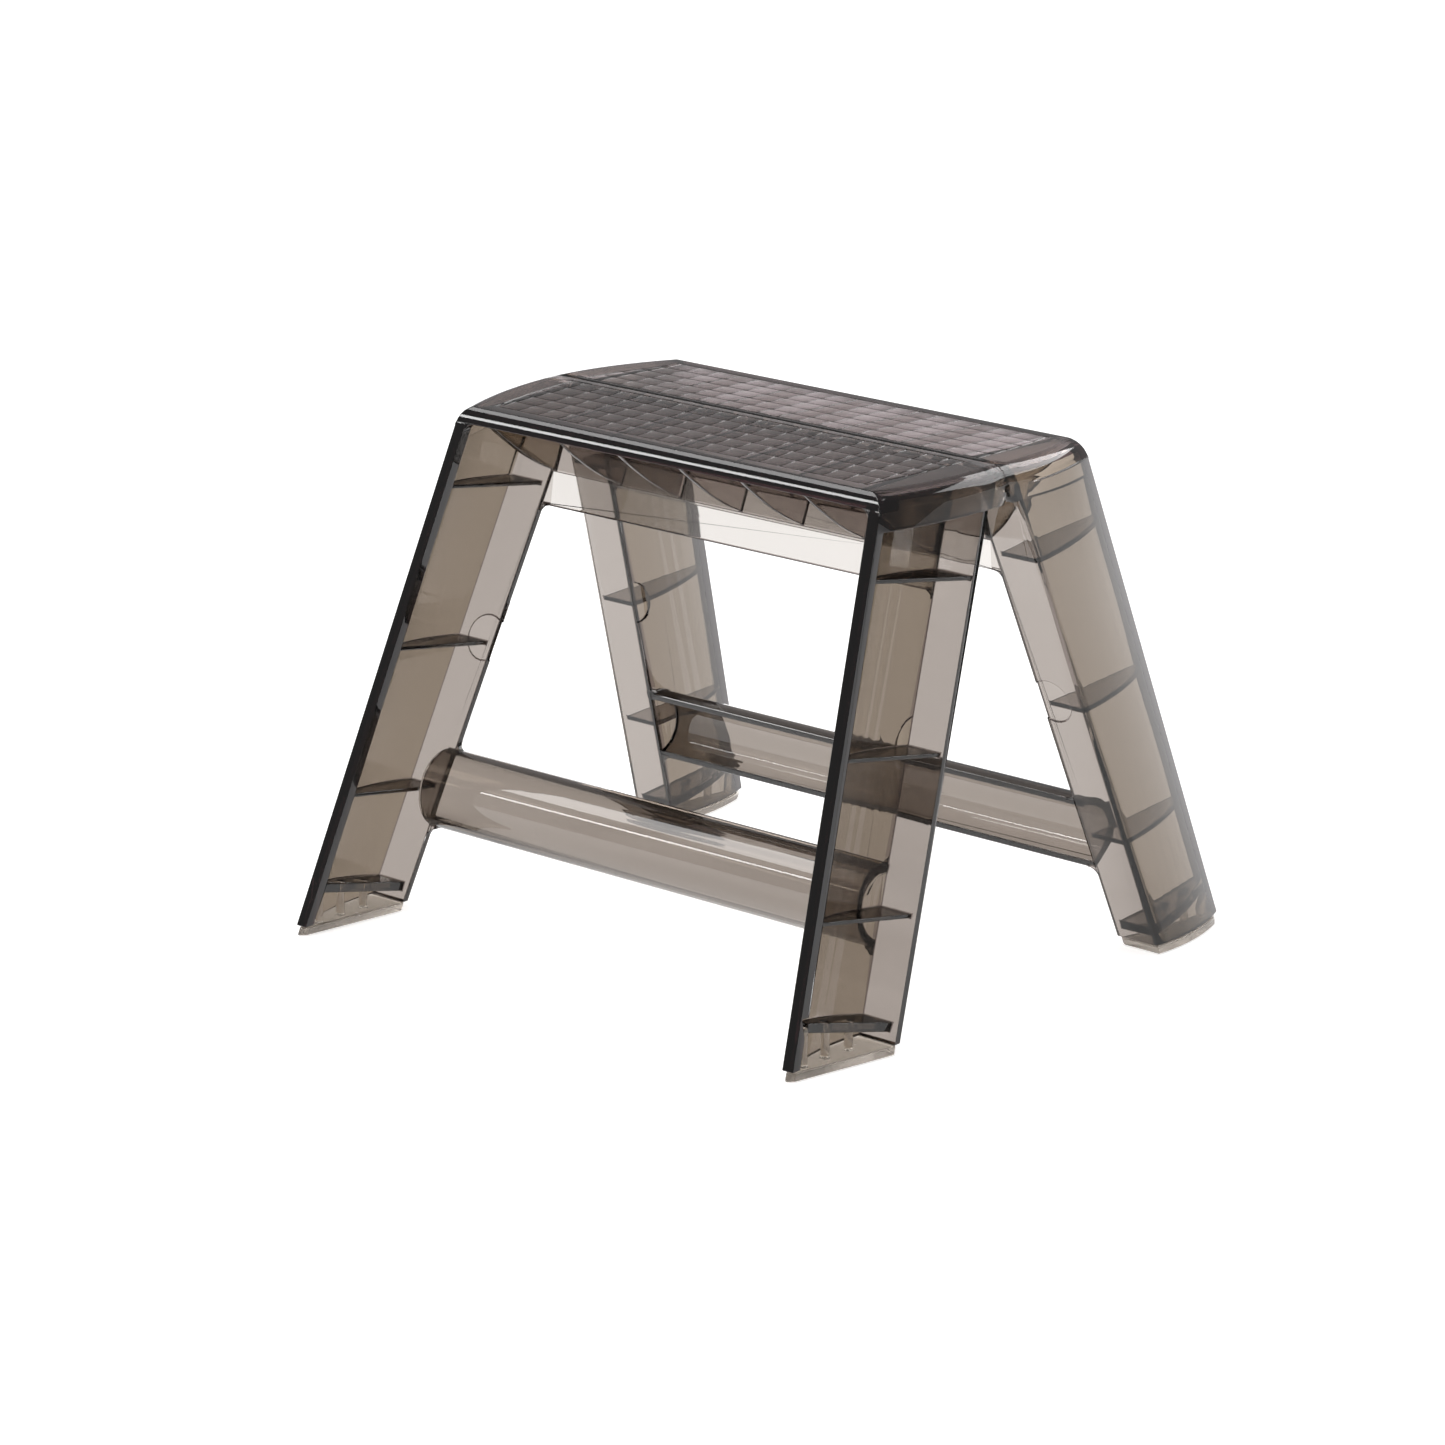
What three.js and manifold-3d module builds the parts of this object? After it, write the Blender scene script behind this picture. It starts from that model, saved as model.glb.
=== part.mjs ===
// A folding step stool: two identical moulded half frames in clear smoke plastic, hinged along the
// long centre line of the tread, each standing on two soft foot pads.
// Millimetres, +Z up, X along the hinge, the front half on -Y. The origin is on the floor,
// under the middle of the tread.
import * as THREE from 'three';
import { mergeVertices } from 'three/addons/utils/BufferGeometryUtils.js';
import Module from 'manifold-3d';

const wasm = await Module();
wasm.setup();

// ---- driving dimensions -------------------------------------------------------------------------
const HEIGHT = 242;          // floor to the tread's outer long edge
const CROWN = 1.8;           // how much higher the tread is at the hinge line
const WALL = 3.5;            // moulded wall
const RIB = 1.8;             // thin stiffening ribs
const GAP = 0.3;             // clearance between separate pieces
const EMBED = 1;             // how far solids that are joined reach into each other
const FINEST = 0.02;         // details smaller than this are dropped from the solids
const MERGE = 1e-4;          // corners closer than this are one corner

const FRONT_Y = 73.1;        // half depth of the tread, and the open side's line at tread height
const FRONT_SPREAD = 84.9;   // how far that line leans out by the floor
const HINGE_Y = 3.6;         // the hinge-side wall at tread height
const HINGE_SPREAD = 92.3;   // how far it leans out by the floor

const OUTER_X = 137.1;       // legs' outer corner on the hinge side, at tread height
const OUTER_SPREAD = 23.9;
const INNER_X = 110.4;       // legs' inner corner on the hinge side, at tread height
const INNER_SPREAD = 27.7;
const LEFT_RIM_X = 124.3;    // left leg's side wall at the open side
const RIGHT_RIM_X = 120.3;   // right leg's side wall at the open side
const RIM_SPREAD = 25.7;     // both lean out by this much
const WALL_BULGE = 4;        // side walls are curved in plan

const RIM_WIDTH = 6;         // thick bead along each leg's open edge and over the top of the opening
const RIM_DEPTH = 5.4;
const RIM_END_INSET = 1.2;   // the bead's end is this much narrower under the tread's rounding
const RIM_FILLET = 5;        // inner corners where the bead turns over the top
const SKIRT_FRONT = 7.4;     // depth of the tread's long edge
const SKIRT_END = 16.5;      // depth of the tread's curved ends
const END_RADIUS = 8;        // their rounded upper edge
const FRONT_RADIUS = 1.6;    // the long edge's rounding

const APRON_BOTTOM = 188;    // lower edge of the hinge-side wall under the tread
const APRON_BAND = 15.5;     // its lower part is thinner
const APRON_THIN = 1.7;
const TREAD_RIBS = 5;
const TREAD_RIB_PITCH = 36.5;
const TREAD_RIB_CENTRE = 2;
const RIB_FOOT = 203.5;      // height at which the tread ribs meet the apron
const RIB_BELLY = 0.6;       // their lower edge is a curve pulled towards this share of the way
const RIB_BELLY_RISE = 6.5;
const RIB_SWEEP_STEPS = 8;
const CORNER_FILLET = 4.5;

const GUSSET_HEIGHTS = [198, 124.3, 57.5];   // where the leg gussets meet the hinge-side flange
const GUSSET_SETBACK = 3;                    // they stop short of the flange's free edge
const GUSSET_TILT = 0.125;                   // they rise towards the open side
const FOOT_RIB_HEIGHT = 12.5;
const FOOT_RIB_TILT = 0.2;
const FOOT_RIB = 4.4;

const BAR_HEIGHT = 56.6;     // crossbar centre
const BAR_HALF = 19;         // half its height
const BAR_DEPTH = 17;        // how far it bows towards the open side
const BAR_STEPS = 14;
const BAR_INSET = 0.3;       // its rims lie this far inside the hinge-side faces

const RECESS_HEIGHT = 125;   // finger recess on each leg's inner edge
const RECESS_RADIUS = 11;
const RECESS_INSET = 6;      // its centre lies this far in from the flange's free edge
const RECESS_DEPTH = 0.6;
const RECESS_SIDES = 24;

const GRID_PITCH = 12.1;     // shallow grooves on the tread
const GRID_COLUMNS = 9;      // on each side of the middle one
const GRID_ROWS = [4.6, 16, 28.1, 40.2, 52.3, 64.4];
const GRID_END = 117;        // how far the grid reaches at the hinge line
const GRID_END_BOW = 7;      // and how much less at its outer row
const GROOVE_WIDTH = 0.9;
const GROOVE_DEPTH = 0.5;

const PAD = 3.8;             // foot pad thickness
const PAD_CORNER = 2.5;      // its corners are cut by this much
const PEG_RADIUS = 2;
const PEG_PLACES = [0.2, 0.45, 0.7];
const PEG_SIDES = 12;

const AXIS_HEIGHT = 234;     // hinge axis
const KNUCKLE_RADIUS = 4;
const KNUCKLE_PITCH = 9;
const KNUCKLE_PAIRS = 14;
const ARM_BACK = 8.5;        // how far each knuckle's arm reaches back under the tread
const ARM_DROP = 2;
const PIN_RADIUS = 1.75;
const PIN_SIDES = 12;
const BORE_SIDES = 16;
const KNUCKLE_SIDES = 20;
const PIN_START = 97;
const PIN_END = 131;

// ---- shared lines -------------------------------------------------------------------------------
const lean = (top, spread) => (z) => top + spread * (1 - z / HEIGHT);
const frontY = (z) => -lean(FRONT_Y, FRONT_SPREAD)(z);
const hingeY = (z) => -lean(HINGE_Y, HINGE_SPREAD)(z);
const outerX = lean(OUTER_X, OUTER_SPREAD);
const innerX = lean(INNER_X, INNER_SPREAD);
const foldSlope = HINGE_SPREAD / HEIGHT;
const foldAngle = Math.atan(foldSlope);
const treadZ = (y) => HEIGHT + CROWN * (1 + y / FRONT_Y);
const mix = (a, b, t) => a + (b - a) * t;
const bulge = (u) => 4 * WALL_BULGE * u * (1 - u);

// Both legs of one half have the same section: a curved side wall from the open side's rim to a
// corner on the hinge side, and a flange from that corner towards +X.
const LEGS = [
  { rim: (z) => -lean(LEFT_RIM_X, RIM_SPREAD)(z), corner: (z) => -outerX(z), free: (z) => -innerX(z) },
  { rim: (z) => lean(RIGHT_RIM_X, RIM_SPREAD)(z), corner: (z) => innerX(z), free: (z) => outerX(z) },
];
const legWallX = (leg, u, z) => mix(leg.rim(z), leg.corner(z), u) - bulge(u);

// ---- solids -------------------------------------------------------------------------------------
function volumeOf(geometry) {
  const p = geometry.attributes.position;
  const index = geometry.index.array;
  const [a, b, c] = [new THREE.Vector3(), new THREE.Vector3(), new THREE.Vector3()];
  let sum = 0;
  for (let i = 0; i < index.length; i += 3) {
    a.fromBufferAttribute(p, index[i]);
    b.fromBufferAttribute(p, index[i + 1]);
    c.fromBufferAttribute(p, index[i + 2]);
    sum += a.dot(b.cross(c));
  }
  return sum;
}

function solid(geometry) {
  geometry.deleteAttribute('normal');
  geometry.deleteAttribute('uv');
  const merged = mergeVertices(geometry, MERGE);
  const triVerts = new Uint32Array(merged.index.array);
  if (volumeOf(merged) < 0) {
    for (let i = 0; i < triVerts.length; i += 3) {
      [triVerts[i], triVerts[i + 1]] = [triVerts[i + 1], triVerts[i]];
    }
  }
  const vertProperties = new Float32Array(merged.attributes.position.array);
  return new wasm.Manifold(new wasm.Mesh({ numProp: 3, vertProperties, triVerts }));
}

function geometryOf(body) {
  const mesh = body.getMesh();
  const geometry = new THREE.BufferGeometry();
  geometry.setAttribute('position', new THREE.BufferAttribute(mesh.vertProperties, 3));
  geometry.setIndex(new THREE.BufferAttribute(mesh.triVerts, 1));
  geometry.computeVertexNormals();
  return geometry;
}

function warp(geometry, place) {
  const p = geometry.attributes.position;
  for (let i = 0; i < p.count; i++) {
    const [x, y, z] = place(p.getX(i), p.getY(i), p.getZ(i));
    p.setXYZ(i, x, y, z);
  }
  return geometry;
}

// A block whose three unit directions are bent into place by a function of (u, v, w), each 0 to 1.
function block(segments, place) {
  const box = new THREE.BoxGeometry(1, 1, 1, ...segments).translate(0.5, 0.5, 0.5);
  return solid(warp(box, place));
}

// A (y, z) outline drawn out along X.
function prismX(points, x0, x1) {
  const shape = new THREE.Shape(points.map(([y, z]) => new THREE.Vector2(y, z)));
  const geometry = new THREE.ExtrudeGeometry(shape, { depth: x1 - x0, bevelEnabled: false });
  return solid(warp(geometry, (y, z, d) => [x0 + d, y, z]));
}

// A plan outline given a thickness downwards and laid on a slope that rises away from the hinge.
function slopingPlate(points, topZ, thickness, slope) {
  const shape = new THREE.Shape(points.map(([x, y]) => new THREE.Vector2(x, y)));
  const geometry = new THREE.ExtrudeGeometry(shape, { depth: thickness, bevelEnabled: false });
  const y0 = hingeY(topZ);
  return solid(warp(geometry, (x, y, d) => [x, y, topZ - d + slope * (y0 - y)]));
}

function cylinderX(radius, x0, x1, y, z, sides) {
  const geometry = new THREE.CylinderGeometry(radius, radius, x1 - x0, sides);
  return solid(geometry.rotateZ(Math.PI / 2).translate((x0 + x1) / 2, y, z));
}

const joinAll = (bodies) => bodies.reduce((all, body) => all.add(body));

// ---- tread --------------------------------------------------------------------------------------
const END_STEPS = 8;
const EDGE_STEPS = 6;

// The tread's outer form: its ends follow the legs' lines and curve outwards, and their upper
// edge is rounded. An inset makes the hollow under it.
function treadForm(inset, bottom, hingeLimit) {
  const radius = END_RADIUS - inset;
  const place = (u, v, w) => {
    const step = Math.max(0, w * (EDGE_STEPS + 1) - 1) / EDGE_STEPS;
    const angle = step * Math.PI / 2;
    const top = HEIGHT - inset;
    const z = w === 0 ? bottom : top - radius + radius * Math.sin(angle);
    const pull = inset + radius * (1 - Math.cos(angle));
    const shrink = Math.min(1, inset) * WALL + FRONT_RADIUS * (1 - Math.cos(angle));
    const y = mix(frontY(z) + shrink, hingeLimit, v);
    const left = -mix(LEFT_RIM_X + outerX(z) - OUTER_X, outerX(z), v) - bulge(v) + pull;
    const right = mix(RIGHT_RIM_X + RIM_WIDTH + outerX(z) - OUTER_X, outerX(z), v) + bulge(v) - pull;
    return [mix(left, right, u), y, z + CROWN * (1 + y / FRONT_Y)];
  };
  return block([1, END_STEPS, EDGE_STEPS + 1], place);
}

function tread() {
  const bottom = HEIGHT - SKIRT_END;
  const outside = treadForm(0, bottom, 0);
  const inside = treadForm(WALL, bottom - WALL, WALL);
  const mouthTop = HEIGHT - SKIRT_FRONT;
  const mouth = block([1, 1, 1], (u, v, w) => {
    const z = mix(bottom - WALL, mouthTop, w);
    const left = LEGS[0].rim(z) + RIM_WIDTH;
    return [mix(left, LEGS[1].rim(z), u), mix(frontY(z) - WALL, frontY(z) + 2 * WALL, v), z];
  });
  return outside.subtract(inside).subtract(mouth);
}

// Stiffening ribs across the tread, with a lower edge that sweeps from the long edge to the apron.
function treadRib(x, thickness) {
  const start = new THREE.Vector2(frontY(HEIGHT) + RIM_DEPTH - EMBED, HEIGHT - SKIRT_FRONT);
  const end = new THREE.Vector2(hingeY(RIB_FOOT) - EMBED, RIB_FOOT);
  const belly = new THREE.Vector2(mix(start.x, end.x, RIB_BELLY), RIB_FOOT + RIB_BELLY_RISE);
  const sweep = new THREE.QuadraticBezierCurve(start, belly, end).getPoints(RIB_SWEEP_STEPS);
  const top = [
    [hingeY(HEIGHT) - EMBED, treadZ(hingeY(HEIGHT)) - EMBED],
    [start.x, treadZ(start.x) - EMBED],
  ];
  return prismX([...sweep.map((p) => [p.x, p.y]), ...top], x - thickness / 2, x + thickness / 2);
}

function treadRibs() {
  const ribs = [];
  const half = (TREAD_RIBS - 1) / 2;
  for (let i = -half; i <= half; i++) {
    ribs.push(treadRib(TREAD_RIB_CENTRE + i * TREAD_RIB_PITCH, RIB));
  }
  ribs.push(treadRib(-innerX(RIB_FOOT) + WALL / 2, WALL));
  ribs.push(treadRib(innerX(RIB_FOOT) - WALL / 2, WALL));
  return joinAll(ribs);
}

function apron() {
  const slab = (bottom, top, thickness) => block([1, 1, 1], (u, v, w) => {
    const z = mix(bottom, top, w);
    return [mix(-innerX(z) - EMBED, innerX(z) + EMBED, u), hingeY(z) - thickness * (1 - v), z];
  });
  const bandTop = APRON_BOTTOM + APRON_BAND;
  return slab(APRON_BOTTOM, bandTop + EMBED, APRON_THIN).add(slab(bandTop, HEIGHT - EMBED, WALL));
}

// The bead over the top of the opening between the legs' rims.
function topRim() {
  const bottom = HEIGHT - SKIRT_FRONT;
  return block([1, 1, 1], (u, v, w) => {
    const z = mix(bottom, HEIGHT - WALL + EMBED, w);
    const x = mix(LEGS[0].rim(z) + WALL, LEGS[1].rim(z) + RIM_WIDTH - EMBED, u);
    return [x, frontY(z) + mix(FRONT_RADIUS, RIM_DEPTH, v), z];
  });
}

// ---- legs ---------------------------------------------------------------------------------------
const LEG_BOTTOM = PAD + GAP;
const LEG_TOP = HEIGHT - END_RADIUS;
const WALL_STEPS = 8;

function legWall(leg) {
  return block([1, WALL_STEPS, 1], (u, v, w) => {
    const z = mix(LEG_BOTTOM, LEG_TOP, w);
    return [legWallX(leg, v, z) + WALL * u, mix(frontY(z), hingeY(z), v), z];
  });
}

// At the top its outer side is drawn in, to stay inside the tread's rounded end.
function legFlange(leg) {
  return block([1, 1, 1], (u, v, w) => {
    const z = mix(LEG_BOTTOM, HEIGHT - EMBED, w);
    const cornerIn = leg === LEGS[0] ? WALL * w : 0;
    const freeIn = leg === LEGS[0] ? 0 : WALL * w;
    return [mix(leg.corner(z) + cornerIn, leg.free(z) - freeIn, u), hingeY(z) - WALL * (1 - v), z];
  });
}

// The bead's upper end is drawn in on its outer side, to stay inside the tread's rounded end.
function legRim(leg) {
  const outerSide = leg === LEGS[0] ? 0 : 1;
  return block([1, 1, 2], (u, v, w) => {
    const z = w === 1 ? HEIGHT - SKIRT_FRONT + EMBED : mix(LEG_BOTTOM, LEG_TOP, 2 * w);
    const drawnIn = w === 1 && u === outerSide ? RIM_END_INSET * (1 - 2 * u) : 0;
    const y = frontY(z) + (w === 1 ? mix(FRONT_RADIUS, RIM_DEPTH, v) : RIM_DEPTH * v);
    return [leg.rim(z) + RIM_WIDTH * u + drawnIn, y, z];
  });
}

// The outline of a leg's inside at a given height: along the side wall, then the flange.
function legInside(leg, topZ, slope) {
  const points = [];
  for (let i = 0; i <= WALL_STEPS; i++) {
    const v = i / WALL_STEPS;
    const z = topZ + slope * (hingeY(topZ) - mix(frontY(topZ), hingeY(topZ), v));
    const y = mix(frontY(z) + RIM_DEPTH / 2, hingeY(z) - WALL / 2, v);
    points.push([legWallX(leg, v, z) + WALL / 2, y]);
  }
  points.push([leg.free(topZ) - GUSSET_SETBACK, hingeY(topZ) - WALL / 2]);
  const zFront = topZ + slope * (hingeY(topZ) - frontY(topZ));
  points.push([leg.rim(zFront) + RIM_WIDTH - EMBED, frontY(zFront) + RIM_DEPTH / 2]);
  return points;
}

function gussets(leg) {
  const plates = GUSSET_HEIGHTS.map((z) => slopingPlate(legInside(leg, z, GUSSET_TILT), z, RIB, GUSSET_TILT));
  const foot = legInside(leg, FOOT_RIB_HEIGHT, FOOT_RIB_TILT);
  plates.push(slopingPlate(foot, FOOT_RIB_HEIGHT, FOOT_RIB, FOOT_RIB_TILT));
  return joinAll(plates);
}

function pegPlace(leg, t) {
  const z = FOOT_RIB_HEIGHT;
  const side = legWallX(leg, t, z) + WALL;
  const open = mix(leg.rim(z) + RIM_WIDTH, leg.free(z), t);
  return [mix(side, open, 0.5), mix(frontY(0), hingeY(0), t)];
}

function peg(leg, t, radius, top) {
  const [x, y] = pegPlace(leg, t);
  const geometry = new THREE.CylinderGeometry(radius, radius, top, PEG_SIDES);
  return solid(geometry.rotateX(Math.PI / 2).translate(x, y, top / 2));
}

const pegTop = (t) => FOOT_RIB_HEIGHT - EMBED + FOOT_RIB_TILT * (hingeY(0) - mix(frontY(0), hingeY(0), t));

function legOf(leg) {
  const body = joinAll([legWall(leg), legFlange(leg), legRim(leg), gussets(leg)]);
  const hole = (t) => peg(leg, t, PEG_RADIUS + GAP, pegTop(t) + FOOT_RIB);
  return PEG_PLACES.reduce((all, t) => all.subtract(hole(t)), body);
}

// ---- crossbar -----------------------------------------------------------------------------------
function arcPoints(halfHeight, depth, steps) {
  return Array.from({ length: steps + 1 }, (_, i) => {
    const angle = Math.PI * i / steps;
    return [halfHeight * Math.cos(angle), depth * Math.sin(angle)];
  });
}

// Turns (along the hinge-side plane, out of it) into (y, z) around a height on that plane.
function onHingePlane(along, out, z0) {
  const [c, s] = [Math.cos(foldAngle), Math.sin(foldAngle)];
  return [hingeY(z0) + along * s - out * c, z0 + along * c + out * s];
}

function crossbar() {
  const outer = arcPoints(BAR_HALF, BAR_DEPTH, BAR_STEPS);
  const inner = arcPoints(BAR_HALF - WALL, BAR_DEPTH - WALL, BAR_STEPS).reverse();
  const outline = [...outer, ...inner].map(([a, d]) => onHingePlane(a, d + BAR_INSET, BAR_HEIGHT));
  const reach = innerX(BAR_HEIGHT) + WALL / 2;
  return prismX(outline, -reach, reach);
}

// A concave fillet in the corner of an opening. inward points from the upright edge into the
// opening, up is 1 in a lower corner and -1 in an upper one.
function fillet({ edgeX, planeY, inward, z, up, radius, depth }) {
  const steps = 5;
  const lift = 1.2;
  const skin = 0.2;
  const shape = new THREE.Shape([new THREE.Vector2(-lift, -lift), new THREE.Vector2(radius, -lift)]);
  for (let i = 0; i <= steps; i++) {
    const angle = (Math.PI / 2) * (i / steps);
    shape.lineTo(radius * (1 - Math.sin(angle)), radius * (1 - Math.cos(angle)));
  }
  shape.lineTo(-lift, radius);
  const geometry = new THREE.ExtrudeGeometry(shape, { depth: depth - 2 * skin, bevelEnabled: false });
  return solid(warp(geometry, (along, across, d) => {
    const zHere = z + up * along;
    return [edgeX(zHere) + inward * across, planeY(zHere) - depth + skin + d, zHere];
  }));
}

// Between the legs' flanges: under the apron, and above and below the crossbar.
function flangeFillets() {
  const barRise = BAR_HALF * Math.cos(foldAngle);
  const fillets = [];
  for (const side of [-1, 1]) {
    const edge = { edgeX: (z) => side * innerX(z), planeY: hingeY, inward: -side, radius: CORNER_FILLET };
    fillets.push(fillet({ ...edge, z: APRON_BOTTOM, up: -1, depth: APRON_THIN + 2 * GAP }));
    fillets.push(fillet({ ...edge, z: BAR_HEIGHT + barRise, up: 1, depth: WALL }));
    fillets.push(fillet({ ...edge, z: BAR_HEIGHT - barRise, up: -1, depth: WALL }));
  }
  return joinAll(fillets);
}

// Where the beads turn over the top of the front opening and of the right leg's opening.
function rimFillets() {
  const top = {
    planeY: (z) => frontY(z) + RIM_DEPTH,
    z: HEIGHT - SKIRT_FRONT,
    up: -1,
    radius: RIM_FILLET,
    depth: RIM_DEPTH,
  };
  const left = fillet({ ...top, edgeX: (z) => LEGS[0].rim(z) + RIM_WIDTH, inward: 1 });
  return left.add(fillet({ ...top, edgeX: LEGS[1].rim, inward: -1 }));
}

// ---- finger recesses ----------------------------------------------------------------------------
// On the left leg it is in the flange, and on the right leg in the side wall beside the corner.
function fingerRecesses() {
  const disc = () => new THREE.CylinderGeometry(RECESS_RADIUS, RECESS_RADIUS, 2 * RECESS_DEPTH, RECESS_SIDES);
  const inFlange = disc().rotateX(-foldAngle);
  inFlange.translate(-innerX(RECESS_HEIGHT) - RECESS_INSET, hingeY(RECESS_HEIGHT), RECESS_HEIGHT);
  const inWall = warp(disc().rotateZ(Math.PI / 2), (x, y, z) => {
    const height = RECESS_HEIGHT + z;
    return [x + innerX(height), y + hingeY(height), height];
  });
  return solid(inFlange).add(solid(inWall));
}

// ---- grid of grooves on the tread ---------------------------------------------------------------
function groove(start, end) {
  const along = new THREE.Vector2(end[0] - start[0], end[1] - start[1]).normalize();
  return block([1, 1, 1], (u, v, w) => {
    const offset = GROOVE_WIDTH * (v - 0.5);
    const x = mix(start[0], end[0], u) - along.y * offset;
    const y = mix(start[1], end[1], u) + along.x * offset;
    return [x, y, treadZ(y) + GROOVE_DEPTH * (3 * w - 1)];
  });
}

function grooves() {
  const first = GRID_ROWS[0];
  const last = GRID_ROWS[GRID_ROWS.length - 1];
  const end = (y) => GRID_END - GRID_END_BOW * (y / last) ** 2;
  const cuts = GRID_ROWS.map((y) => {
    const reach = end(y) + (y === first || y === last ? GROOVE_WIDTH : 0);
    return groove([-reach, -y], [reach, -y]);
  });
  for (let i = -GRID_COLUMNS; i <= GRID_COLUMNS; i++) {
    cuts.push(groove([i * GRID_PITCH, -first], [i * GRID_PITCH, -last]));
  }
  for (const side of [-1, 1]) {
    cuts.push(block([1, END_STEPS, 1], (u, v, w) => {
      const y = -mix(first, last, v);
      return [side * end(y) + GROOVE_WIDTH * (u - 0.5), y, treadZ(y) + GROOVE_DEPTH * (3 * w - 1)];
    }));
  }
  return joinAll(cuts);
}

// ---- hinge --------------------------------------------------------------------------------------
// Everything past the split, and past the plane on which the folded halves would meet.
function foldClearance() {
  const far = 2 * FRONT_Y;
  const drop = AXIS_HEIGHT - APRON_BOTTOM + WALL;
  const outline = [
    [-GAP, HEIGHT + far],
    [-GAP, AXIS_HEIGHT],
    [-GAP - drop * foldSlope, AXIS_HEIGHT - drop],
    [far, AXIS_HEIGHT - drop],
    [far, HEIGHT + far],
  ];
  return prismX(outline, -2 * OUTER_X, 2 * OUTER_X);
}

// The front half has the even places of the row and the rear half, turned round, the odd ones.
function knuckles() {
  const half = (KNUCKLE_PAIRS - 1) / 2;
  const treadBottom = treadZ(0) - WALL + EMBED / 2;
  const arm = [
    [0, AXIS_HEIGHT + KNUCKLE_RADIUS - GAP],
    [-GAP, treadBottom],
    [-ARM_BACK, treadBottom],
    [-ARM_BACK, AXIS_HEIGHT],
    [-KNUCKLE_RADIUS, AXIS_HEIGHT - ARM_DROP],
    [0, AXIS_HEIGHT - ARM_DROP],
  ];
  const row = [];
  for (let i = -half; i <= half; i++) {
    const x0 = 2 * i * KNUCKLE_PITCH + GAP;
    const x1 = x0 + KNUCKLE_PITCH - 2 * GAP;
    const barrel = cylinderX(KNUCKLE_RADIUS, x0, x1, 0, AXIS_HEIGHT, KNUCKLE_SIDES);
    row.push(barrel.add(prismX(arm, x0, x1)));
  }
  return joinAll(row);
}

function pinBores() {
  const bore = (x0, x1) => cylinderX(PIN_RADIUS + GAP, x0, x1, 0, AXIS_HEIGHT, BORE_SIDES);
  const past = PIN_START - 2 * GAP;
  return bore(past, 2 * OUTER_X).add(bore(-2 * OUTER_X, -past));
}

// ---- one half frame -----------------------------------------------------------------------------
function halfFrame() {
  const tops = [tread(), treadRibs(), apron(), topRim(), rimFillets()];
  const shell = joinAll([...tops, ...LEGS.map(legOf), crossbar(), flangeFillets()]);
  const hollowed = shell.subtract(fingerRecesses()).subtract(grooves()).subtract(foldClearance());
  return hollowed.add(knuckles()).subtract(pinBores()).simplify(FINEST);
}

// ---- foot pads ----------------------------------------------------------------------------------
// Each pad leans with its leg, so that their sides are flush.
function footPad(leg) {
  const z = 0;
  const leanX = Math.sign(leg.rim(z)) * RIM_SPREAD / HEIGHT;
  const leanY = FRONT_SPREAD / HEIGHT;
  const shape = new THREE.Shape();
  const points = [];
  for (let i = 1; i <= WALL_STEPS; i++) {
    const v = i / WALL_STEPS;
    points.push([legWallX(leg, v, z), mix(frontY(z), hingeY(z), v)]);
  }
  const rimEnd = leg.rim(z) + RIM_WIDTH;
  points.push([leg.free(z) - PAD_CORNER, hingeY(z)], [leg.free(z), hingeY(z) - PAD_CORNER]);
  points.push([rimEnd, frontY(z) + PAD_CORNER], [rimEnd - PAD_CORNER, frontY(z)]);
  points.push([leg.rim(z) + PAD_CORNER, frontY(z)]);
  points.forEach(([x, y], i) => (i ? shape.lineTo(x, y) : shape.moveTo(x, y)));
  const upright = new THREE.ExtrudeGeometry(shape, { depth: PAD, bevelEnabled: false });
  const plate = solid(warp(upright, (x, y, d) => [x - leanX * d, y + leanY * d, d]));
  return PEG_PLACES.reduce((all, t) => all.add(peg(leg, t, PEG_RADIUS, pegTop(t))), plate);
}

// ---- materials and scene ------------------------------------------------------------------------
const smoke = (name) => new THREE.MeshStandardMaterial({
  name, color: 0x8d837c, roughness: 0.12, metalness: 0, transparent: true, opacity: 0.45,
});
const padMaterial = () => new THREE.MeshStandardMaterial({
  name: 'pad', color: 0xc4bcb0, roughness: 0.45, metalness: 0, transparent: true, opacity: 0.7,
});
const steel = () => new THREE.MeshStandardMaterial({
  name: 'steel', color: 0xb4b6b8, roughness: 0.3, metalness: 1,
});

const group = new THREE.Group();

function addPiece(parent, name, geometry, material) {
  const mesh = new THREE.Mesh(geometry, material);
  mesh.name = name;
  parent.add(mesh);
}

const frameGeometry = geometryOf(halfFrame());
const padGeometries = LEGS.map((leg) => geometryOf(footPad(leg)));
const pinGeometry = geometryOf(cylinderX(PIN_RADIUS, PIN_START, PIN_END, 0, AXIS_HEIGHT, PIN_SIDES));

for (const [half, turn, sides] of [['front', 0, ['left', 'right']], ['rear', Math.PI, ['right', 'left']]]) {
  const side = new THREE.Group();
  side.rotation.z = turn;
  addPiece(side, `${half}_half_frame`, frameGeometry, smoke('smoke'));
  sides.forEach((name, i) => addPiece(side, `foot_pad_${half}_${name}`, padGeometries[i], padMaterial()));
  addPiece(side, `hinge_pin_${sides[1]}`, pinGeometry, steel());
  group.add(side);
}

export default group;
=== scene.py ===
import math

import bmesh
import bpy
from mathutils import Matrix, Vector
from mathutils.bvhtree import BVHTree
from mathutils.kdtree import KDTree

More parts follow.
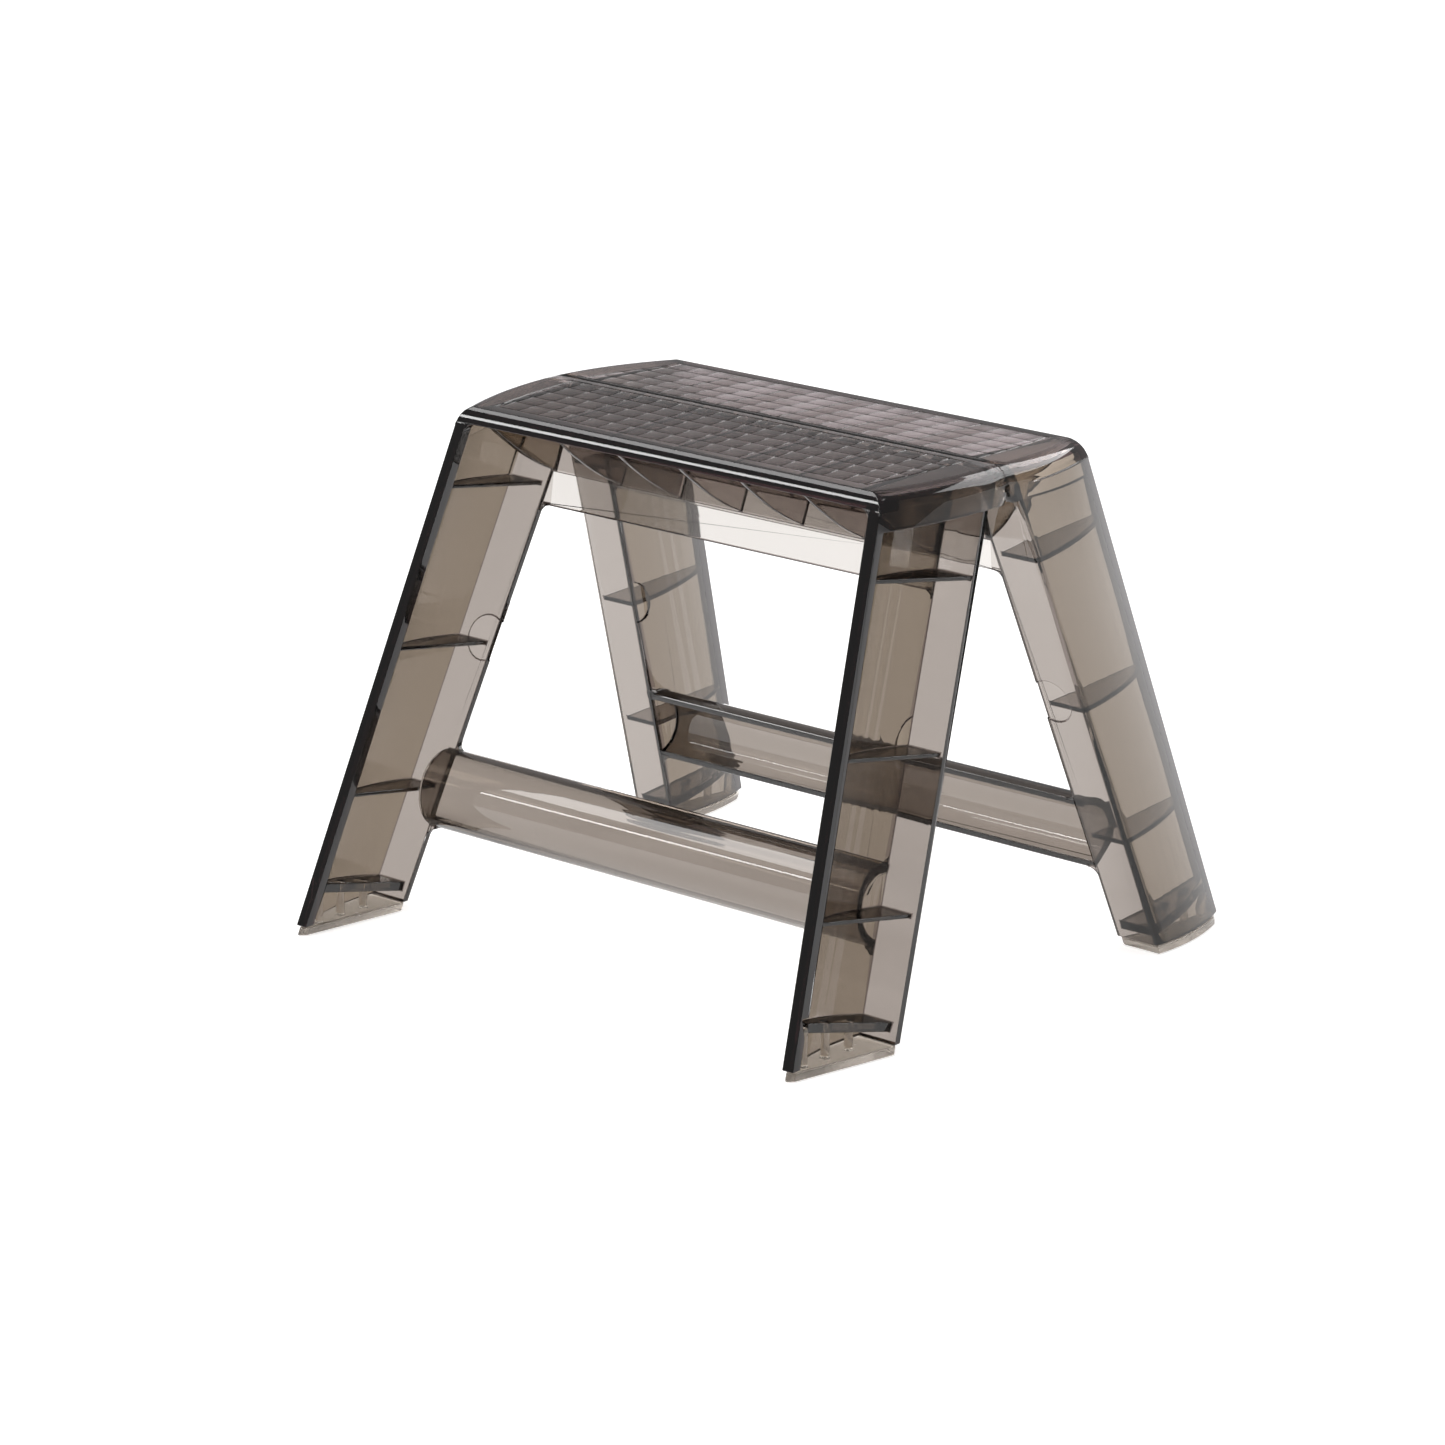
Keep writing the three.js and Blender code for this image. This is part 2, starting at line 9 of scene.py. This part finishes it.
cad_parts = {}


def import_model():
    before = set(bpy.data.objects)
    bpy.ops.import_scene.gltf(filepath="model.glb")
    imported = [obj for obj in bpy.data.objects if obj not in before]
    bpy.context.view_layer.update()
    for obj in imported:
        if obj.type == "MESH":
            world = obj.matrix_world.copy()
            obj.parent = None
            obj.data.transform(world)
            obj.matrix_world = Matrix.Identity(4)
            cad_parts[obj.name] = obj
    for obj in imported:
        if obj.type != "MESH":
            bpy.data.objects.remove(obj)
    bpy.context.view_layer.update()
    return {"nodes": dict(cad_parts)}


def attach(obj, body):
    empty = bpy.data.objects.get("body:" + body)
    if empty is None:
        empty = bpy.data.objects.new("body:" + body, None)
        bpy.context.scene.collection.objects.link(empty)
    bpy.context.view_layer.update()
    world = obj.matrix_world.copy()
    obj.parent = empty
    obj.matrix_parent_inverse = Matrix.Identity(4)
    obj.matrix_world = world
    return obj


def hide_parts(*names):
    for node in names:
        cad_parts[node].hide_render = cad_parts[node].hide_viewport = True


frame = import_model()

MM = 0.001

# ---- camera -----------------------------------------------------------------
CAMERA_AZIMUTH = math.radians(40.56)
CAMERA_ELEVATION = math.radians(15.89)
CAMERA_ROLL = math.radians(0.92)
CAMERA_DISTANCE = 2.6064
CAMERA_TARGET_HEIGHT = 0.120
CAMERA_OFFSET = (0.01949, 0.01984)
CAMERA_LENS = 140.48
SENSOR = 36.0

# ---- mesh finishing ---------------------------------------------------------
WELD = 0.004 * MM
SLIVER = 0.001 * MM
SHARP_ANGLE = math.radians(32)
SMOOTH_ANGLE = math.radians(38)
EDGE_ROUND = 0.45 * MM
EDGE_SEGMENTS = 2
STRAY_SHARE = 3.0      # a rounded corner lies within this many widths of its edge
SURFACE_SHARE = 0.5    # and within this share of a width from the CAD surface
EDGE_SAMPLE = 0.4 * MM
FROST = 0.35           # roughness of the tread's underside

# ---- the CAD frame's lines, used to tell one face from another ---------------
HEIGHT = 242.0 * MM
FRONT_Y = 73.1 * MM
FRONT_SPREAD = 84.9 * MM
HINGE_Y = 3.6 * MM
HINGE_SPREAD = 92.3 * MM
TREAD_CROWN = 1.8 * MM
RIM_DEPTH = 5.4 * MM
WALL = 3.5 * MM
SKIRT_FRONT = 7.4 * MM
GROOVE_DEPTH = 0.5 * MM
GRID_FRONT_Y = 65.0 * MM
GRID_BACK_Y = 3.0 * MM
GRID_END_X = 119.0 * MM
APRON_BOTTOM = 188.0 * MM
APRON_BAND_TOP = 203.5 * MM
APRON_HALF = 110.0 * MM
RIBS_HALF = 108.0 * MM
BAR_BOTTOM = 37.0 * MM
BAR_TOP = 78.0 * MM
BAR_HALF_LENGTH = 131.0 * MM
CLOSE = 0.5 * MM
HINGE_END_X = 122.0 * MM      # the halves pass close to each other past here when they fold
HINGE_END_Y = 12.0 * MM
HINGE_END_BOTTOM = 220.0 * MM
AXIS_HEIGHT = 234.0 * MM
KNUCKLE_REACH = 5.5 * MM      # edges this close to the hinge axis belong to the knuckles
SKIRT_END = 16.5 * MM         # depth of the tread's curved ends
END_BAND = 4.5 * MM           # painted shade: dark band round the tread's curved ends

# ---- how far a face's normal has to point along an axis ----------------------
ALONG_X = 0.9
ALONG_Y = 0.8
UP_OR_DOWN = 0.8
MOSTLY_FLAT = 0.75
SIDEWAYS = 0.8
LEANING_SIDEWAYS = 0.4

# ---- materials and light -----------------------------------------------------
SMOKE_IOR = 1.52
SMOKE_ROUGH = (0.0, 0.05)
SMOKE_WAVES = {"Strength": 0.03, "Distance": 0.4 * MM}
SMOKE_DEPTH = {"Color": (0.25, 0.18, 0.12, 1), "Density": 150.0}
SHADOW_TINT = (0.93, 0.92, 0.91, 1)
PAD_BASE = {"Base Color": (0.64, 0.58, 0.51, 1), "IOR": 1.48, "Transmission Weight": 0.92}
PAD_ROUGH = (0.16, 0.32)
PAD_ROUND = 0.6 * MM
PAD_SEGMENTS = 3
STEEL_BASE = {"Base Color": (0.62, 0.63, 0.64, 1), "Metallic": 1.0}
STEEL_ROUGH = (0.18, 0.34)
STEEL_MARKS = (8, 1, 1)
PIN_ROUND = 0.3 * MM
FLOOR_SIZE = 20.0
FLOOR_HEIGHT = -0.5 * MM
FLOOR_GREY = (0.75, 0.75, 0.75, 1)
FLOOR_GLOW = 0.62
WORLD_COLOUR = (1.0, 0.97, 0.975, 1)
WORLD_STRENGTH = 0.35
SOFTBOXES = [
    # name, place, target, width, height, watts
    ("key", (-1.2, -1.0, 2.2), (0, 0, 0.1), 1.6, 1.6, 40),
    ("rear", (0.6, 2.0, 1.6), (0, 0, 0.1), 2.2, 1.2, 30),
    ("strip", (-1.2, -1.8, 1.3), (-1.2, 0, 0.1), 5.0, 0.12, 24),
]


def front_line(z):
    """Distance of a leg's open side from the hinge line at height z."""
    return FRONT_Y + FRONT_SPREAD * (1 - z / HEIGHT)


def hinge_line(z):
    """Distance of the hinge-side faces from the hinge line at height z."""
    return HINGE_Y + HINGE_SPREAD * (1 - z / HEIGHT)


def tread_height(y):
    """Height of the tread's upper face at a distance y from the hinge line."""
    return HEIGHT + TREAD_CROWN * (1 - y / FRONT_Y)


# ---- mesh helpers -----------------------------------------------------------
def object_of(bm, name):
    """A new object in the scene that holds this bmesh."""
    mesh = bpy.data.meshes.new(name)
    bm.to_mesh(mesh)
    bm.free()
    made = bpy.data.objects.new(name, mesh)
    bpy.context.scene.collection.objects.link(made)
    return made


def smoothed(obj, angle=SMOOTH_ANGLE):
    """Shades obj smooth, except across edges sharper than angle."""
    obj.data.shade_smooth()
    obj.data.set_sharp_from_angle(angle=angle)
    flat = obj.modifiers.new("flat_faces_stay_flat", "WEIGHTED_NORMAL")
    flat.mode = "FACE_AREA"
    flat.weight = 100
    flat.keep_sharp = True
    return obj


def in_grid(place):
    """True at the depth of the tread's shallow grooves, which are too small to be rounded."""
    depth = tread_height(abs(place.y)) - place.z
    inside = abs(place.x) < GRID_END_X and GRID_BACK_Y < abs(place.y) < GRID_FRONT_Y
    return inside and depth < GROOVE_DEPTH + 0.1 * MM


def at_hinge_end(edge):
    """True for an edge that reaches the tread's ends beside the hinge line."""
    return any(abs(v.co.x) > HINGE_END_X and abs(v.co.y) < HINGE_END_Y and v.co.z > HINGE_END_BOTTOM
               for v in edge.verts)


def at_knuckle(edge):
    """True for an edge of a hinge knuckle. Its shallow corners are too close together to be rounded."""
    return any(math.hypot(v.co.y, v.co.z - AXIS_HEIGHT) < KNUCKLE_REACH for v in edge.verts)


def middle_of(edge):
    return (edge.verts[0].co + edge.verts[1].co) / 2


def stays_sharp(edge):
    """The edges of a half frame that aren't rounded."""
    return in_grid(middle_of(edge)) or at_hinge_end(edge) or at_knuckle(edge)


def points_along(edges):
    """Points at short steps along these edges, for finding the nearest one."""
    points = []
    for edge in edges:
        start, end = edge.verts[0].co, edge.verts[1].co
        steps = max(1, math.ceil((end - start).length / EDGE_SAMPLE))
        points += [start.lerp(end, i / steps) for i in range(steps + 1)]
    tree = KDTree(len(points))
    for i, point in enumerate(points):
        tree.insert(point, i)
    tree.balance()
    return tree


def pull_back(corners, surface, edges, width):
    """Moves corners that the rounding threw off their edge, or off the surface, back on to it."""
    for corner in corners:
        near_edge, _, to_edge = edges.find(corner.co)
        if to_edge > STRAY_SHARE * width:
            corner.co = near_edge
        near_face, _, _, to_face = surface.find_nearest(corner.co)
        if to_face > SURFACE_SHARE * width:
            corner.co = near_face


def refined_copy(node, name, width=EDGE_ROUND, segments=EDGE_SEGMENTS, keep_sharp=None):
    """A copy of a CAD node with its sharp edges rounded. The new faces are marked as rounded."""
    bm = bmesh.new()
    bm.from_mesh(frame["nodes"][node].data)
    bmesh.ops.remove_doubles(bm, verts=bm.verts, dist=WELD)
    rounded = bm.faces.layers.int.new("rounded")
    if width:
        sharp = [e for e in bm.edges if e.is_manifold and abs(e.calc_face_angle(0)) > SHARP_ANGLE
                 and not (keep_sharp and keep_sharp(e))]
        surface = BVHTree.FromBMesh(bm)
        edges = points_along(sharp)
        made = bmesh.ops.bevel(bm, geom=sharp, offset=width, offset_type="OFFSET", segments=segments,
                               profile=0.5, affect="EDGES", clamp_overlap=False)
        for face in made["faces"]:
            face[rounded] = 1
        pull_back({v for face in made["faces"] for v in face.verts}, surface, edges, width)
        bmesh.ops.dissolve_degenerate(bm, edges=bm.edges, dist=SLIVER)
    return object_of(bm, name)


# ---- materials --------------------------------------------------------------
class Graph:
    """Short names for building a node material."""

    def __init__(self, name):
        self.material = bpy.data.materials.new(name)
        self.material.use_nodes = True
        self.tree = self.material.node_tree
        self.tree.nodes.clear()
        self.output = self.add("ShaderNodeOutputMaterial")

    def add(self, kind, values=None, **settings):
        node = self.tree.nodes.new(kind)
        for key, value in settings.items():
            setattr(node, key, value)
        for key, value in (values or {}).items():
            node.inputs[key].default_value = value
        return node

    def link(self, start, end):
        self.tree.links.new(start, end)

    def noise(self, scale, detail=3.0, stretch=(1, 1, 1)):
        place = self.add("ShaderNodeTexCoord")
        mapping = self.add("ShaderNodeMapping", {"Scale": stretch})
        texture = self.add("ShaderNodeTexNoise", {"Scale": scale, "Detail": detail})
        self.link(place.outputs["Object"], mapping.inputs["Vector"])
        self.link(mapping.outputs["Vector"], texture.inputs["Vector"])
        return texture.outputs["Fac"]

    def spread(self, value, low, high):
        """Maps a 0 to 1 value onto a range."""
        node = self.add("ShaderNodeMapRange", {"To Min": low, "To Max": high})
        self.link(value, node.inputs["Value"])
        return node.outputs["Result"]


def smoke_plastic(name):
    """Clear plastic with a smoke colour that deepens with thickness; its base colour is read from a
    per-face attribute of painted light and shade.
    """
    g = Graph(name)
    body = g.add("ShaderNodeBsdfPrincipled", {"IOR": SMOKE_IOR, "Transmission Weight": 1.0})
    # base colour: each part's painted light and shade; alpha: how frosted the face is
    painted_shading_and_frost = g.add("ShaderNodeAttribute", attribute_name="painted_shading_and_frost")
    g.link(painted_shading_and_frost.outputs["Color"], body.inputs["Base Color"])
    frost = g.add("ShaderNodeMath", {1: FROST}, operation="MULTIPLY")
    g.link(painted_shading_and_frost.outputs["Alpha"], frost.inputs[0])
    rough = g.add("ShaderNodeMath", operation="ADD")
    g.link(frost.outputs[0], rough.inputs[0])
    g.link(g.spread(g.noise(60.0), *SMOKE_ROUGH), rough.inputs[1])
    g.link(rough.outputs[0], body.inputs["Roughness"])
    bump = g.add("ShaderNodeBump", SMOKE_WAVES)
    g.link(g.noise(22.0, 1.0), bump.inputs["Height"])
    g.link(bump.outputs["Normal"], body.inputs["Normal"])
    clear = g.add("ShaderNodeBsdfTransparent", {"Color": SHADOW_TINT})
    path = g.add("ShaderNodeLightPath")
    mix = g.add("ShaderNodeMixShader")
    g.link(path.outputs["Is Shadow Ray"], mix.inputs["Fac"])
    g.link(body.outputs["BSDF"], mix.inputs[1])
    g.link(clear.outputs["BSDF"], mix.inputs[2])
    g.link(mix.outputs["Shader"], g.output.inputs["Surface"])
    depth = g.add("ShaderNodeVolumeAbsorption", SMOKE_DEPTH)
    g.link(depth.outputs["Volume"], g.output.inputs["Volume"])
    return g.material


def pad_plastic():
    """Soft, slightly cloudy plastic of the foot pads."""
    g = Graph("foot_pad")
    body = g.add("ShaderNodeBsdfPrincipled", PAD_BASE)
    g.link(g.spread(g.noise(400.0), *PAD_ROUGH), body.inputs["Roughness"])
    g.link(body.outputs["BSDF"], g.output.inputs["Surface"])
    return g.material


def pin_steel():
    """Ground steel with fine marks around the shaft."""
    g = Graph("steel")
    body = g.add("ShaderNodeBsdfPrincipled", STEEL_BASE)
    g.link(g.spread(g.noise(800.0, 2.0, STEEL_MARKS), *STEEL_ROUGH), body.inputs["Roughness"])
    g.link(body.outputs["BSDF"], g.output.inputs["Surface"])
    return g.material


def paint(obj, material):
    obj.data.materials.clear()
    obj.data.materials.append(material)


# ---- painted light and shade on the parts of a half frame ------------------------------
# base colours of one smoke plastic, made lighter or darker part by part: painted light and shade for
# how light passes through and reflects off each part
PAINTED_SHADING_BY_PART = {
    "tread": (0.76, 0.65, 0.715),
    # dark painted shade in the tread's grooves
    "groove": (0.10, 0.08, 0.09),
    # near-black painted shade on the rims and the band under the tread's top, standing in for the dark
    # edges that refraction makes
    "edge": (0.034, 0.017, 0.020),
    # dark painted shade on the rounded corners and bevels, drawn as thin dark lines
    "rounded": (0.15, 0.12, 0.11),
    "underside": (0.88, 0.80, 0.84),
    "tread_rib": (0.80, 0.75, 0.74),
    "flange": (0.475, 0.440, 0.415),
    "apron": (0.79, 0.775, 0.755),
    # painted shade: the leg walls made brown and dark, standing in for the darkness seen through them
    "wall": (0.285, 0.240, 0.192),
    "skirt": (0.560, 0.490, 0.410),
    "bar": (0.370, 0.333, 0.300),
    "rib": (0.58, 0.53, 0.49),
}


def zone_of(centre, normal, corners):
    """Which part of a half frame a face belongs to, and so its painted light and shade, from its place
    and direction on the front half.
    """
    y = -centre.y
    among_ribs = abs(centre.x) < RIBS_HALF and APRON_BOTTOM < centre.z and not in_grid(centre)
    if abs(normal.x) > ALONG_X and among_ribs:
        return "tread_rib"
    to_front = front_line(centre.z) - y
    to_hinge = y - hinge_line(centre.z)
    under_top = tread_height(y) - centre.z
    # groove faces get the dark groove colour: painted shade
    if in_grid(centre) and under_top > GROOVE_DEPTH / 4:
        return "groove"
    if under_top < WALL + CLOSE and normal.z > UP_OR_DOWN and to_front > RIM_DEPTH:
        return "tread"
    if under_top < WALL + CLOSE and normal.z < -UP_OR_DOWN and to_front > RIM_DEPTH + CLOSE:
        return "underside"
    # the rims and the band under the tread's top get the near-black edge colour: painted shade
    band = SKIRT_FRONT + CLOSE if to_front < 2 * RIM_DEPTH else END_BAND
    if under_top < band:
        return "edge"
    if to_front < RIM_DEPTH + CLOSE:
        return "edge"
    if under_top < SKIRT_END + CLOSE and abs(centre.x) > RIBS_HALF and abs(normal.x) > LEANING_SIDEWAYS:
        return "skirt"
    if BAR_BOTTOM < centre.z < BAR_TOP and abs(centre.x) < BAR_HALF_LENGTH:
        return "bar"
    if abs(normal.z) > MOSTLY_FLAT:
        return "rib"
    if to_hinge < WALL + CLOSE and abs(normal.y) > ALONG_Y:
        in_band = APRON_BOTTOM < centre.z < APRON_BAND_TOP and abs(centre.x) < APRON_HALF
        return "apron" if in_band else "flange"
    # sideways corner faces inside the flange get the dark rounded colour: painted shade
    in_flange = all(-c.y - hinge_line(c.z) < WALL + CLOSE for c in corners)
    if in_flange and abs(normal.x) > SIDEWAYS:
        return "rounded"
    # remaining faces get the brown wall colour: painted shade
    return "wall"


def add_painted_shading(piece, half):
    """Stores each face's painted light and shade (its part's lighter or darker colour) and how frosted
    it is in colour attributes.
    """
    mesh = piece.data
    mesh.color_attributes.new("painted_shading_and_frost", "FLOAT_COLOR", "CORNER")
    turn = Matrix.Rotation(math.pi, 3, "Z") if half == "rear" else Matrix.Identity(3)
    rounded = [mark.value for mark in mesh.attributes["rounded"].data]
    mesh.attributes.remove(mesh.attributes["rounded"])
    painted_shading_and_frost = mesh.color_attributes["painted_shading_and_frost"]
    for face in mesh.polygons:
        corners = [turn @ mesh.vertices[i].co for i in face.vertices]
        zone = zone_of(turn @ face.center, turn @ face.normal, corners)
        # bevel faces outside the edge band get the dark rounded colour: painted shade along the rounded
        # edges
        if rounded[face.index] and zone != "edge":
            zone = "rounded"
        frost = 1.0 if zone == "underside" else 0.0
        for loop in face.loop_indices:
            painted_shading_and_frost.data[loop].color = (*PAINTED_SHADING_BY_PART[zone], frost)


# ---- pieces -----------------------------------------------------------------
def half_frame(half, material):
    node = f"{half}_half_frame"
    piece = refined_copy(node, f"{half}_half_shell", keep_sharp=stays_sharp)
    add_painted_shading(piece, half)
    smoothed(piece)
    paint(piece, material)
    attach(piece, f"{half}_half")
    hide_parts(node)


def foot_pad(half, side, material):
    node = f"foot_pad_{half}_{side}"
    piece = smoothed(refined_copy(node, f"pad_{half}_{side}", PAD_ROUND, PAD_SEGMENTS))
    paint(piece, material)
    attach(piece, f"{half}_half")
    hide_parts(node)


def hinge_pin(side, material):
    node = f"hinge_pin_{side}"
    piece = smoothed(refined_copy(node, f"pin_{side}", PIN_ROUND))
    paint(piece, material)
    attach(piece, "front_half")
    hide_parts(node)


smoke = smoke_plastic("smoke_plastic")
pad = pad_plastic()
steel = pin_steel()
for half in ("front", "rear"):
    half_frame(half, smoke)
    for side in ("left", "right"):
        foot_pad(half, side, pad)
for side in ("left", "right"):
    hinge_pin(side, steel)


# ---- studio -----------------------------------------------------------------
def floor():
    bm = bmesh.new()
    bmesh.ops.create_grid(bm, x_segments=1, y_segments=1, size=FLOOR_SIZE)
    made = object_of(bm, "studio_floor")
    made.location.z = FLOOR_HEIGHT
    g = Graph("studio_floor")
    matt = g.add("ShaderNodeBsdfDiffuse", {"Color": FLOOR_GREY})
    glow = g.add("ShaderNodeEmission", {"Color": (1, 1, 1, 1), "Strength": FLOOR_GLOW})
    both = g.add("ShaderNodeAddShader")
    g.link(matt.outputs["BSDF"], both.inputs[0])
    g.link(glow.outputs["Emission"], both.inputs[1])
    g.link(both.outputs["Shader"], g.output.inputs["Surface"])
    made.data.materials.append(g.material)


def softbox(name, place, target, width, height, power):
    light = bpy.data.lights.new(name, "AREA")
    light.shape = "RECTANGLE"
    light.size = width
    light.size_y = height
    light.energy = power
    made = bpy.data.objects.new(name, light)
    bpy.context.scene.collection.objects.link(made)
    made.location = place
    made.rotation_euler = (Vector(target) - Vector(place)).to_track_quat("-Z", "Y").to_euler()


def world():
    made = bpy.data.worlds.new("studio")
    made.use_nodes = True
    background = made.node_tree.nodes["Background"]
    background.inputs["Color"].default_value = WORLD_COLOUR
    background.inputs["Strength"].default_value = WORLD_STRENGTH
    bpy.context.scene.world = made


def camera():
    sin, cos = math.sin, math.cos
    back = Vector((sin(CAMERA_AZIMUTH) * cos(CAMERA_ELEVATION),
                   -cos(CAMERA_AZIMUTH) * cos(CAMERA_ELEVATION), sin(CAMERA_ELEVATION)))
    right = Vector((cos(CAMERA_AZIMUTH), sin(CAMERA_AZIMUTH), 0))
    up = back.cross(right)
    turned_right = right * cos(CAMERA_ROLL) + up * sin(CAMERA_ROLL)
    turned_up = up * cos(CAMERA_ROLL) - right * sin(CAMERA_ROLL)
    place = Vector((0, 0, CAMERA_TARGET_HEIGHT)) + back * CAMERA_DISTANCE
    place -= turned_right * CAMERA_OFFSET[0] + turned_up * CAMERA_OFFSET[1]
    data = bpy.data.cameras.new("camera")
    data.sensor_width = SENSOR
    data.lens = CAMERA_LENS
    data.clip_end = 100.0
    made = bpy.data.objects.new("camera", data)
    bpy.context.scene.collection.objects.link(made)
    made.matrix_world = Matrix.Translation(place) @ Matrix(
        (turned_right, turned_up, back)).transposed().to_4x4()
    bpy.context.scene.camera = made


floor()
world()
for settings in SOFTBOXES:
    softbox(*settings)
camera()
bpy.context.scene.view_settings.view_transform = "Standard"
